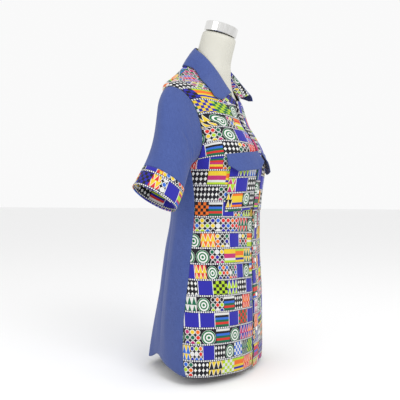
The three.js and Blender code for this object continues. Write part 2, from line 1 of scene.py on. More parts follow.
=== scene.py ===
"""Short-sleeved shirt dress in wax print and chambray on a dress form, dressed over its CAD frame."""
import logging
import math
from dataclasses import dataclass, field
from enum import Enum
from typing import Callable, Optional, Sequence

import bmesh
import bpy
import numpy as np
from mathutils import Matrix, Vector


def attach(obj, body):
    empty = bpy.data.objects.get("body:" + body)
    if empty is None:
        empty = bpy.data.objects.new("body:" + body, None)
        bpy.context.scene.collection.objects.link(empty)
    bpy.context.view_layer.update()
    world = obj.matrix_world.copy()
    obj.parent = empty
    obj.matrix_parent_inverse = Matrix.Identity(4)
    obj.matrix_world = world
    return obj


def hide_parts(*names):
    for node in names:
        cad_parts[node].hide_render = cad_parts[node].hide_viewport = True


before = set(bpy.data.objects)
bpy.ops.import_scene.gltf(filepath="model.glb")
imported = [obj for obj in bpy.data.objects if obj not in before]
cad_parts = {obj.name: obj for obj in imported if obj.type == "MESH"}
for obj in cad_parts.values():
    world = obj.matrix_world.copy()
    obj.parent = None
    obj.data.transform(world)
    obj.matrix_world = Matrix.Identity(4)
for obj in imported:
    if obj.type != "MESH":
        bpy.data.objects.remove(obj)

LOG = logging.getLogger("dress")
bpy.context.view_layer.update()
MM = 0.001

Array = np.ndarray
PointAt = Callable[[Array, Array], Array]


class Cloth(Enum):
    """The two cloths of the dress."""

    PRINT = "print"
    CHAMBRAY = "chambray"


# ------------------------------------------------------------------ form of the dress
def column(xs: Sequence[float], ys: Sequence[float]) -> Callable[[Array], Array]:
    """A smooth curve through a table's column.

    Args:
        xs: the first column, rising.
        ys: the column to follow.

    Returns:
        A function from any value of the first column to this one.
    """
    x, y = np.array(xs, float), np.array(ys, float)
    d = np.diff(y) / np.diff(x)
    m = np.empty(len(x))
    m[0], m[-1] = d[0], d[-1]
    for i in range(1, len(x) - 1):
        m[i] = 0.0 if d[i - 1] * d[i] <= 0 else 2 * d[i - 1] * d[i] / (d[i - 1] + d[i])

    def at(q: Array) -> Array:
        """The column at q."""
        q = np.asarray(q, float)
        i = np.clip(np.searchsorted(x, q) - 1, 0, len(x) - 2)
        h = x[i + 1] - x[i]
        t = (q - x[i]) / h
        inside = (
            (2 * t**3 - 3 * t**2 + 1) * y[i]
            + (t**3 - 2 * t**2 + t) * h * m[i]
            + (3 * t**2 - 2 * t**3) * y[i + 1]
            + (t**3 - t**2) * h * m[i + 1]
        )
        low = y[0] + m[0] * (q - x[0])
        high = y[-1] + m[-1] * (q - x[-1])
        return np.where(q <= x[0], low, np.where(q >= x[-1], high, inside))

    return at


RING_NAMES = ("z", "half", "front", "back", "mid", "q", "p")
RINGS = (
    (0, 216, -121, 192, -6, 2.2, 1.5),
    (60, 213, -125, 184, -6, 2.25, 1.56),
    (200, 198, -125, 158, -2, 2.3, 1.75),
    (340, 176, -121, 132, 0, 2.4, 1.95),
    (440, 162, -123, 112, 0, 2.5, 2.1),
    (520, 158, -131, 107, 2, 2.6, 2.2),
    (585, 160, -138, 110, 6, 2.7, 2.2),
    (620, 161, -136, 114, 12, 2.7, 2.2),
    (665, 161, -116, 120, 22, 2.6, 2.2),
    (710, 163, -88, 124, 32, 2.5, 2.2),
    (750, 176, -76, 121, 40, 2.2, 2.2),
    (775, 188, -71, 116, 46, 1.85, 2.1),
    (794, 192, -66, 111, 52, 1.5, 2.1),
    (822, 148, -56, 101, 58, 1.25, 2.0),
    (850, 102, -52, 90, 57, 1.25, 2.0),
    (890, 54, -50, 70, 48, 1.5, 2.0),
)
RING = {n: column([r[0] for r in RINGS], [r[i] for r in RINGS]) for i, n in enumerate(RING_NAMES)}
FLUTES = (  # round the body at, out by, wide, up to
    (163, 13, 9, 430),
    (197, 13, 9, 430),
    (132, -7, 15, 380),
    (228, -7, 15, 380),
    (88, 7, 8, 330),
    (272, 7, 8, 330),
    (62, -5, 10, 300),
    (298, -5, 10, 300),
    (36, 3, 9, 260),
    (324, 3, 9, 260),
)
HEM_Z, NECK_PIT_Z, NECK_BACK_Z, YOKE_Z = 26.0, 772.0, 884.0, 728.0
HOLE_Z, HOLE_HEIGHT, HOLE_TURN, HOLE_BACK_TURN = 688.0, 104.0, 18.5, 21.0
UNDERARM = HOLE_Z - HOLE_HEIGHT
SHOULDER_A = 84.0
YOKE_W = 360 - math.degrees(math.acos((YOKE_Z - HOLE_Z) / HOLE_HEIGHT))
CLOTH = 1.6  # wall of the CAD panels, whose outer face the cloth follows
seam_angle = column((0, 60, 120, 300, 480, 584), (86, 91, 92, 89, 87, 90))
neck_height = column((0, 12, 23, 37, 61, 85, 180), (NECK_PIT_Z, 776, 800, 835, 863, 880, NECK_BACK_Z))
hem_height = column(
    (0, 60, 92, 112, 135, 163, 180),
    (HEM_Z - 14, HEM_Z - 6, HEM_Z, HEM_Z + 13, HEM_Z + 24, HEM_Z - 2, HEM_Z + 2),
)


def lerp(a: Array, b: Array, t: Array) -> Array:
    """Between a and b by the share t."""
    return a + (b - a) * t


def dress_at(a: Array, z: Array) -> Array:
    """Points of the dress in millimetres at angle a round it and height z."""
    a, z = np.broadcast_arrays(np.asarray(a, float), np.asarray(z, float))
    s, c = np.sin(np.radians(a)), np.cos(np.radians(a))
    mid = RING["mid"](z)
    deep = np.where(c >= 0, mid - RING["front"](z), RING["back"](z) - mid)
    q = np.where(c >= 0, RING["q"](z), RING["p"](z))
    r = ((np.abs(s) / RING["half"](z)) ** q + (np.abs(c) / deep) ** q) ** (-1 / q)
    for at, out, wide, top in FLUTES:
        d = ((a - at + 540) % 360 - 180) / wide
        r = r + out * np.exp(-d * d) * np.clip(1 - z / top, 0, None) ** 1.3
    return np.stack([-r * s, mid - r * c, z], -1)


def unit(v: Array) -> Array:
    """The same directions at length one."""
    return v / np.maximum(np.linalg.norm(v, axis=-1, keepdims=True), 1e-9)


def dress_out(a: Array, z: Array, off: Array) -> Array:
    """Points of the dress moved out along its normal by off."""
    e = 0.25
    da = dress_at(a + e, z) - dress_at(a - e, z)
    dz = dress_at(a, z + e) - dress_at(a, z - e)
    return dress_at(a, z) - unit(np.cross(da, dz)) * np.asarray(off)[..., None]


def folded(a: Array) -> Array:
    """An angle as its distance from the centre front."""
    return np.abs((np.asarray(a, float) + 180) % 360 - 180)


def angle_at_x(x: Array, z: Array) -> Array:
    """The angle at which the dress is x to the wearer's right."""
    a = np.zeros(np.broadcast(x, z).shape)
    for _ in range(6):
        p = dress_at(a, z)
        r = np.hypot(p[..., 0], p[..., 1] - RING["mid"](z))
        a = np.degrees(np.arcsin(np.clip(x / r, -1, 1)))
    return a


def angle_at_arc(d: Array, z: Array) -> Array:
    """The angle that lies d round the front from its centre."""
    steps = np.arange(0, 121, 1.0)
    out = np.empty(np.broadcast(d, z).shape)
    flat_d, flat_z = np.broadcast_to(d, out.shape).ravel(), np.broadcast_to(z, out.shape).ravel()
    for i, (dd, zz) in enumerate(zip(flat_d, flat_z)):
        p = dress_at(steps, np.full_like(steps, zz))
        gone = np.concatenate([[0], np.cumsum(np.linalg.norm(np.diff(p, axis=0), axis=1))])
        out.ravel()[i] = np.interp(dd, gone, steps)
    return out


def armhole(w: Array) -> tuple[Array, Array]:
    """Angle and height of the armhole at w round it from its top by the front."""
    s, c = np.sin(np.radians(w)), np.cos(np.radians(w))
    return 90 - np.where(s >= 0, HOLE_TURN, HOLE_BACK_TURN) * s, HOLE_Z + HOLE_HEIGHT * c


# ------------------------------------------------------------------ creases
@dataclass(frozen=True)
class Crease:
    """A soft trough or ridge across a sheet, in the sheet's own shares from 0 to 1."""

    u: float
    v: float
    to_u: float
    to_v: float
    depth: float
    width: float

    def lift(self, u: Array, v: Array, size: tuple[float, float]) -> Array:
        """How far the crease moves each point out.

        Args:
            u, v: the points' shares across and up the sheet.
            size: the sheet's width and length in millimetres.

        Returns:
            Millimetres, with troughs below zero.
        """
        scale = np.array(size)
        start = np.array([self.u, self.v]) * scale
        run = np.array([self.to_u, self.to_v]) * scale - start
        p = np.stack([u * scale[0], v * scale[1]], -1) - start
        t = (p @ run) / (run @ run)
        across = (p[..., 0] * run[1] - p[..., 1] * run[0]) / np.hypot(*run)
        ends = np.clip(np.sin(np.pi * np.clip(t, 0, 1)), 0, None) ** 0.7
        return self.depth * np.exp(-((across / self.width) ** 2)) * ends


def creased(creases: Sequence[Crease], u: Array, v: Array, size: tuple[float, float]) -> Array:
    """All the creases of a sheet together."""
    total = np.zeros(np.broadcast(u, v).shape)
    for c in creases:
        total = total + c.lift(u, v, size)
    return total


FRONT_CREASES = (
    Crease(0.34, 0.70, 0.95, 0.60, -1.8, 10),
    Crease(0.40, 0.63, 0.98, 0.50, 1.6, 12),
    Crease(0.30, 0.50, 0.42, 0.05, -2.4, 17),
    Crease(0.52, 0.46, 0.62, 0.02, 2.2, 19),
    Crease(0.76, 0.48, 0.82, 0.03, -2.6, 16),
    Crease(0.12, 0.44, 0.16, 0.04, 1.8, 15),
    Crease(0.20, 0.38, 0.80, 0.34, -1.0, 7),
    Crease(0.55, 0.86, 0.96, 0.74, -1.2, 8),
)
BACK_CREASES = (
    Crease(0.10, 0.66, 0.13, 0.03, 3.2, 17),
    Crease(0.19, 0.60, 0.22, 0.02, -4.0, 16),
    Crease(0.30, 0.70, 0.29, 0.05, 2.4, 18),
    Crease(0.42, 0.60, 0.44, 0.02, -3.0, 20),
    Crease(0.57, 0.66, 0.55, 0.04, 2.6, 18),
    Crease(0.70, 0.62, 0.72, 0.02, -3.4, 19),
    Crease(0.82, 0.60, 0.79, 0.03, 3.0, 16),
    Crease(0.25, 0.78, 0.75, 0.74, -1.6, 12),
)
SLEEVE_CREASES = (
    Crease(0.05, 0.30, 0.32, 0.78, -1.6, 6),
    Crease(0.02, 0.62, 0.34, 0.42, 1.5, 6),
    Crease(0.07, 0.48, 0.40, 0.55, -1.7, 5),
    Crease(0.12, 0.20, 0.38, 0.66, 1.1, 5),
    Crease(0.10, 0.88, 0.33, 0.60, -1.2, 5),
    Crease(0.93, 0.12, 0.95, 0.96, 1.4, 4),
    Crease(0.62, 0.30, 0.80, 0.70, -1.5, 8),
    Crease(0.48, 0.20, 0.66, 0.58, 1.6, 8),
    Crease(0.44, 0.70, 0.60, 0.34, -1.8, 7),
)


# ------------------------------------------------------------------ finishes
class Nodes:
    """Short names for the nodes of one tree."""

    def __init__(self, tree: bpy.types.NodeTree) -> None:
        """Keeps the tree."""
        self.tree = tree

    def add(self, kind: str, **values: object) -> bpy.types.Node:
        """A new node with its properties set."""
        node = self.tree.nodes.new(kind)
        for key, value in values.items():
            setattr(node, key, value)
        return node

    def put(self, socket: bpy.types.NodeSocket, value: object) -> None:
        """Links or sets a socket."""
        if isinstance(value, bpy.types.NodeSocket):
            self.tree.links.new(value, socket)
        elif value is not None:
            socket.default_value = value

    def math(self, op: str, a: object, b: object = None, c: object = None) -> bpy.types.NodeSocket:
        """One Math node's output."""
        node = self.add("ShaderNodeMath", operation=op)
        for socket, value in zip(node.inputs, (a, b, c)):
            self.put(socket, value)
        return node.outputs[0]

    def mix(self, share: object, a: object, b: object) -> bpy.types.NodeSocket:
        """One colour mixed from two."""
        node = self.add("ShaderNodeMix", data_type="RGBA")
        self.put(node.inputs[0], share)
        self.put(node.inputs[6], a)
        self.put(node.inputs[7], b)
        return node.outputs[2]

    def noise(self, vector: object, scale: float, detail: float = 2.0) -> bpy.types.NodeSocket:
        """Noise from 0 to 1."""
        node = self.add("ShaderNodeTexNoise")
        self.put(node.inputs["Vector"], vector)
        node.inputs["Scale"].default_value = scale
        node.inputs["Detail"].default_value = detail
        return node.outputs["Fac"]

    def dice(self, x: object, y: object, seed: float) -> bpy.types.NodeSocket:
        """A random value for each whole-numbered place."""
        join = self.add("ShaderNodeCombineXYZ")
        self.put(join.inputs[0], x)
        self.put(join.inputs[1], y)
        join.inputs[2].default_value = seed
        node = self.add("ShaderNodeTexWhiteNoise", noise_dimensions="3D")
        self.put(node.inputs["Vector"], join.outputs[0])
        return node.outputs["Value"]


ROW_HEIGHT, BAND_SHARE, DOT_PITCH = 0.042, 0.14, 0.006  # print rows, the band under each, its dots
BLACK = (0.006, 0.006, 0.010, 1)
WHITE = (0.80, 0.80, 0.78, 1)
INKS = (
    (0.020, 0.018, 0.330, 1),
    (0.650, 0.030, 0.020, 1),
    (0.005, 0.130, 0.060, 1),
    (0.010, 0.008, 0.012, 1),
    (0.420, 0.620, 0.020, 1),
    (0.800, 0.160, 0.015, 1),
    (0.030, 0.140, 0.600, 1),
    (0.780, 0.560, 0.030, 1),
    (0.700, 0.700, 0.680, 1),
    (0.480, 0.030, 0.160, 1),
)


def ink(n: Nodes, value: object) -> bpy.types.NodeSocket:
    """An ink of the print picked by a value from 0 to 1."""
    ramp = n.add("ShaderNodeValToRGB")
    ramp.color_ramp.interpolation = "CONSTANT"
    stops = ramp.color_ramp.elements
    while len(stops) < len(INKS):
        stops.new(0.5)
    for i, colour in enumerate(INKS):
        stops[i].position = i / len(INKS)
        stops[i].color = colour
    n.put(ramp.inputs[0], value)
    return ramp.outputs[0]


def patchwork_group() -> bpy.types.NodeTree:
    """A generic patchwork of ordinary geometric motifs; its input is a place on the cloth."""
    tree = bpy.data.node_groups.new("patchwork print", "ShaderNodeTree")
    tree.interface.new_socket("Place", in_out="INPUT", socket_type="NodeSocketVector")
    tree.interface.new_socket("Color", in_out="OUTPUT", socket_type="NodeSocketColor")
    n = Nodes(tree)
    place = n.add("NodeGroupInput").outputs[0]
    split = n.add("ShaderNodeSeparateXYZ")
    n.put(split.inputs[0], place)
    x, y = split.outputs[0], split.outputs[1]
    # Rows of patches; each row is cut at a width and start of its own.
    row_at = n.math("DIVIDE", y, ROW_HEIGHT)
    row = n.math("FLOOR", row_at)
    q = n.math("FRACT", row_at)
    width = n.math("MULTIPLY_ADD", n.dice(row, 0.0, 3.0), 0.022, 0.030)
    start = n.math("MULTIPLY", n.dice(row, 5.0, 7.0), 0.05)
    col_at = n.math("DIVIDE", n.math("ADD", x, start), width)
    col = n.math("FLOOR", col_at)
    p = n.math("FRACT", col_at)
    kind = n.dice(col, row, 11.0)
    tone = n.dice(col, row, 17.0)
    tone2 = n.dice(col, row, 23.0)
    first, second = ink(n, tone), ink(n, tone2)

    def repeat(value: object, times: float) -> bpy.types.NodeSocket:
        """The place within a smaller repeat."""
        return n.math("FRACT", n.math("MULTIPLY", value, times))

    def from_middle(value: object) -> bpy.types.NodeSocket:
        """Distance from a repeat's middle."""
        return n.math("ABSOLUTE", n.math("SUBTRACT", value, 0.5))

    def round_at(a: object, b: object) -> bpy.types.NodeSocket:
        """Distance from a round motif's middle."""
        square_a = n.math("POWER", from_middle(a), 2.0)
        square_b = n.math("POWER", from_middle(b), 2.0)
        return n.math("SQRT", n.math("ADD", square_a, square_b))

    # Concentric rings.
    d = round_at(p, q)
    turn = n.math("GREATER_THAN", n.math("FRACT", n.math("MULTIPLY", d, 5.6)), 0.5)
    rings = n.mix(turn, (0.01, 0.16, 0.05, 1), WHITE)
    rings = n.mix(n.math("GREATER_THAN", d, 0.46), rings, BLACK)
    # Rows of triangles.
    rise = n.math("MULTIPLY", from_middle(repeat(p, 3.0)), 2.0)
    tri = n.math("LESS_THAN", rise, n.math("SUBTRACT", 1.0, repeat(q, 2.0)))
    rim = n.math("LESS_THAN", rise, n.math("SUBTRACT", 1.18, repeat(q, 2.0)))
    triangles = n.mix(tri, n.mix(rim, first, WHITE), second)
    # Columns of beads with a pale outline.
    bead = round_at(repeat(p, 3.0), repeat(q, 3.0))
    bead_col = n.math("FLOOR", n.math("MULTIPLY", col_at, 3.0))
    bead_row = n.math("FLOOR", n.math("MULTIPLY", row_at, 3.0))
    bead_ink = ink(n, n.dice(bead_col, bead_row, 29.0))
    beads = n.mix(n.math("LESS_THAN", bead, 0.47), BLACK, WHITE)
    beads = n.mix(n.math("LESS_THAN", bead, 0.36), beads, bead_ink)
    # Checks, diamonds and stripes.
    check_col = n.math("FLOOR", n.math("MULTIPLY", p, 5.0))
    check_row = n.math("FLOOR", n.math("MULTIPLY", q, 5.0))
    sum_at = n.math("ADD", check_col, check_row)
    checks = n.mix(n.math("MODULO", sum_at, 2.0), first, second)
    lozenge = n.math("ADD", from_middle(repeat(p, 4.0)), from_middle(repeat(q, 3.0)))
    diamonds = n.mix(n.math("LESS_THAN", lozenge, 0.38), BLACK, WHITE)
    stripe = n.dice(n.math("FLOOR", n.math("MULTIPLY", q, 7.0)), col, 31.0)
    stripes = ink(n, stripe)
    plain = n.mix(n.math("GREATER_THAN", from_middle(p), 0.46), (0.022, 0.020, 0.36, 1), WHITE)
    # One motif to each patch.
    colour = rings
    later = ((0.14, triangles), (0.34, beads), (0.50, checks), (0.62, diamonds), (0.74, stripes), (0.88, plain))
    for limit, motif in later:
        colour = n.mix(n.math("GREATER_THAN", kind, limit), colour, motif)
    # Narrow bands between the rows.
    dot = round_at(repeat(n.math("DIVIDE", x, DOT_PITCH), 1.0), n.math("MULTIPLY", q, 7.0))
    dots = n.math("LESS_THAN", dot, 0.34)
    band = n.mix(dots, (0.012, 0.012, 0.05, 1), WHITE)
    colour = n.mix(n.math("LESS_THAN", q, BAND_SHARE), colour, band)
    n.put(n.add("NodeGroupOutput").inputs[0], colour)
    return tree


def weave_group() -> bpy.types.NodeTree:
    """Plain weave: threads that cross, as a height and a slubby shade."""
    tree = bpy.data.node_groups.new("plain weave", "ShaderNodeTree")
    tree.interface.new_socket("Place", in_out="INPUT", socket_type="NodeSocketVector")
    pitch = tree.interface.new_socket("Threads per metre", in_out="INPUT", socket_type="NodeSocketFloat")
    pitch.default_value = 1400
    tree.interface.new_socket("Height", in_out="OUTPUT", socket_type="NodeSocketFloat")
    tree.interface.new_socket("Slub", in_out="OUTPUT", socket_type="NodeSocketFloat")
    n = Nodes(tree)
    source = n.add("NodeGroupInput")
    split = n.add("ShaderNodeSeparateXYZ")
    n.put(split.inputs[0], source.outputs[0])
    x = n.math("MULTIPLY", split.outputs[0], source.outputs[1])
    y = n.math("MULTIPLY", split.outputs[1], source.outputs[1])
    warp = n.math("SINE", n.math("MULTIPLY", x, math.pi))
    weft = n.math("SINE", n.math("MULTIPLY", y, math.pi))
    weave = n.math("MULTIPLY", warp, weft)

    def streaks(stretch: tuple[float, float, float]) -> bpy.types.NodeSocket:
        """Uneven threads along one way of the cloth."""
        mapping = n.add("ShaderNodeMapping")
        n.put(mapping.inputs["Vector"], source.outputs[0])
        mapping.inputs["Scale"].default_value = stretch
        return n.noise(mapping.outputs[0], 1.0, 3.0)

    slub = n.math("MULTIPLY", n.math("ADD", streaks((60, 900, 1)), streaks((900, 60, 1))), 0.5)
    out = n.add("NodeGroupOutput")
    n.put(out.inputs[0], weave)
    n.put(out.inputs[1], slub)
    return tree


@dataclass(frozen=True)
class ClothFinish:
    """Woven cotton, printed or dyed."""

    name: str
    weave: bpy.types.NodeTree
    patchwork: Optional[bpy.types.NodeTree] = None

    def make(self) -> bpy.types.Material:
        """Builds the material.

        Returns:
            A material whose pattern follows the UV map, in metres.
        """
        material = bpy.data.materials.new(self.name)
        material.use_nodes = True
        n = Nodes(material.node_tree)
        shader = material.node_tree.nodes["Principled BSDF"]
        uv = n.add("ShaderNodeUVMap", uv_map="cloth").outputs[0]
        weave = n.add("ShaderNodeGroup", node_tree=self.weave)
        n.put(weave.inputs[0], uv)
        if self.patchwork is not None:
            print_node = n.add("ShaderNodeGroup", node_tree=self.patchwork)
            n.put(print_node.inputs[0], uv)
            colour = n.mix(n.math("MULTIPLY", weave.outputs[1], 0.35), print_node.outputs[0], BLACK)
        else:
            slub = n.math("MULTIPLY_ADD", weave.outputs[1], 2.4, -0.7)
            tint = n.mix(slub, (0.018, 0.036, 0.155, 1), (0.058, 0.098, 0.300, 1))
            cloud = n.math("MULTIPLY", n.noise(uv, 14.0, 4.0), 0.35)
            colour = n.mix(cloud, tint, (0.085, 0.125, 0.34, 1))
        n.put(shader.inputs["Base Color"], colour)
        rough = n.math("MULTIPLY_ADD", weave.outputs[1], 0.2, 0.68)
        n.put(shader.inputs["Roughness"], rough)
        shader.inputs["Sheen Weight"].default_value = 0.12
        shader.inputs["Specular IOR Level"].default_value = 0.25
        bump = n.add("ShaderNodeBump")
        bump.inputs["Strength"].default_value = 0.25
        bump.inputs["Distance"].default_value = 0.0004
        n.put(bump.inputs["Height"], n.math("MULTIPLY_ADD", weave.outputs[0], 0.3, weave.outputs[1]))
        n.put(shader.inputs["Normal"], bump.outputs[0])
        return material


@dataclass(frozen=True)
class HardFinish:
    """A hard surface with a fine wear or grain."""

    name: str
    colour: tuple[float, float, float, float]
    other: tuple[float, float, float, float]
    roughness: float
    metallic: float = 0.0
    stretch: tuple[float, float, float] = (20.0, 20.0, 20.0)

    def make(self) -> bpy.types.Material:
        """Builds the material on Object coordinates."""
        material = bpy.data.materials.new(self.name)
        material.use_nodes = True
        n = Nodes(material.node_tree)
        shader = material.node_tree.nodes["Principled BSDF"]
        place = n.add("ShaderNodeTexCoord").outputs["Object"]
        mapping = n.add("ShaderNodeMapping")
        n.put(mapping.inputs["Vector"], place)
        mapping.inputs["Scale"].default_value = self.stretch
        grain = n.noise(mapping.outputs[0], 1.0, 4.0)
        n.put(shader.inputs["Base Color"], n.mix(grain, self.colour, self.other))
        n.put(shader.inputs["Roughness"], n.math("MULTIPLY_ADD", grain, 0.12, self.roughness))
        shader.inputs["Metallic"].default_value = self.metallic
        bump = n.add("ShaderNodeBump")
        bump.inputs["Strength"].default_value = 0.06
        bump.inputs["Distance"].default_value = 0.0006
        n.put(bump.inputs["Height"], grain)
        n.put(shader.inputs["Normal"], bump.outputs[0])
        return material


# ------------------------------------------------------------------ sheets
@dataclass
class Sheet:
    """One piece of cloth, as a thin shell over a grid of points."""

    name: str
    node: str
    cloth: Cloth
    cols: int
    rows: int
    at: PointAt
    creases: tuple[Crease, ...] = ()
    closed: bool = False
    wall: float = 1.1
    held: str = "hung"
    rests_on: tuple[str, ...] = ("form_body",)
    uv_from: tuple[float, float] = (0.0, 0.0)
    upside_down: bool = False
    mirrored: bool = False

    def points(self) -> tuple[Array, Array, Array]:
        """Lays the sheet out, creases and all.

        Returns:
            The grid's points, the sheet's width and length, in millimetres, and the normals.
        """
        u, v = np.meshgrid(np.linspace(0, 1, self.cols + 1), np.linspace(0, 1, self.rows + 1))
        base = self.at(u, v)
        wide = float(np.linalg.norm(np.diff(base, axis=1), axis=2).sum(1).max())
        long = float(np.linalg.norm(np.diff(base, axis=0), axis=2).sum(0).max())
        du = np.gradient(base, axis=1)
        dv = np.gradient(base, axis=0)
        if self.closed:
            du[:, 0] = du[:, -1] = base[:, 1] - base[:, -2]
        normal = unit(np.cross(du, dv))
        middle = np.array([0.0, 20.0, 0.0]) if not self.closed else base.mean(axis=1, keepdims=True)
        outward = (base - middle) * np.array([1, 1, 0.15])
        if float((normal * outward).sum(-1).mean()) < 0:
            normal = -normal
        lift = creased(self.creases, u, v, (wide, long))
        if self.creases:
            edge = np.clip(np.minimum(v, 1 - v) * 14, 0, 1)
            side = 1.0 if self.closed else np.clip(np.minimum(u, 1 - u) * 14, 0, 1)
            lift = lift * edge * side
        return base + normal * lift[..., None], np.array([wide, long]), normal

    def build(self, material: bpy.types.Material) -> bpy.types.Object:
        """They are not a cut worked out on its own, so they can't prove this shape.

        Args:
            material: the cloth's finish.

        Returns:
            The finished object.
        """
        grid, size, normal = self.points()
        if self.mirrored:
            grid = grid * np.array([-1, 1, 1])
            normal = normal * np.array([-1, 1, 1])
        rows, cols = grid.shape[0], grid.shape[1] - (1 if self.closed else 0)
        outer = grid[:, :cols].reshape(-1, 3)
        steps_across = np.linalg.norm(np.diff(grid, axis=1), axis=2)
        steps_up = np.linalg.norm(np.diff(grid, axis=0), axis=2)
        across = np.concatenate([np.zeros((rows, 1)), np.cumsum(steps_across, 1)], 1)
        up = np.concatenate([np.zeros((1, grid.shape[1])), np.cumsum(steps_up, 0)], 0)
        faces, corners = [], []
        for i in range(rows - 1):
            for j in range(grid.shape[1] - 1):
                k = (j + 1) % cols
                faces.append((i * cols + j, i * cols + k, (i + 1) * cols + k, (i + 1) * cols + j))
                corners.append(((i, j), (i, j + 1), (i + 1, j + 1), (i + 1, j)))
        first = grid[rows // 2, 0], grid[rows // 2, 1], grid[rows // 2 + 1, 0]
        facing = np.cross(first[1] - first[0], first[2] - first[0])
        faces_out = float(np.dot(facing, normal[rows // 2, 0])) > 0
        mesh = bpy.data.meshes.new(self.name)
        if not faces_out:
            faces = [f[::-1] for f in faces]
            corners = [c[::-1] for c in corners]
        mesh.from_pydata([tuple(p * MM) for p in outer], [], faces)
        layer = mesh.uv_layers.new(name="cloth")
        sign = -1.0 if self.upside_down else 1.0
        for f, four in enumerate(corners):
            for k, (i, j) in enumerate(four):
                place = (across[i, j] * MM + self.uv_from[0], sign * up[i, j] * MM + self.uv_from[1])
                layer.data[f * 4 + k].uv = place
        for polygon in mesh.polygons:
            polygon.use_smooth = True
        piece = bpy.data.objects.new(self.name, mesh)
        bpy.context.scene.collection.objects.link(piece)
        mesh.materials.append(material)
        wall = piece.modifiers.new("wall", "SOLIDIFY")
        wall.thickness = self.wall * MM
        wall.offset = -1.0
        bpy.context.view_layer.objects.active = piece
        bpy.ops.object.modifier_apply(modifier=wall.name)
        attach(piece, "root")
        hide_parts(self.node)
        return piece


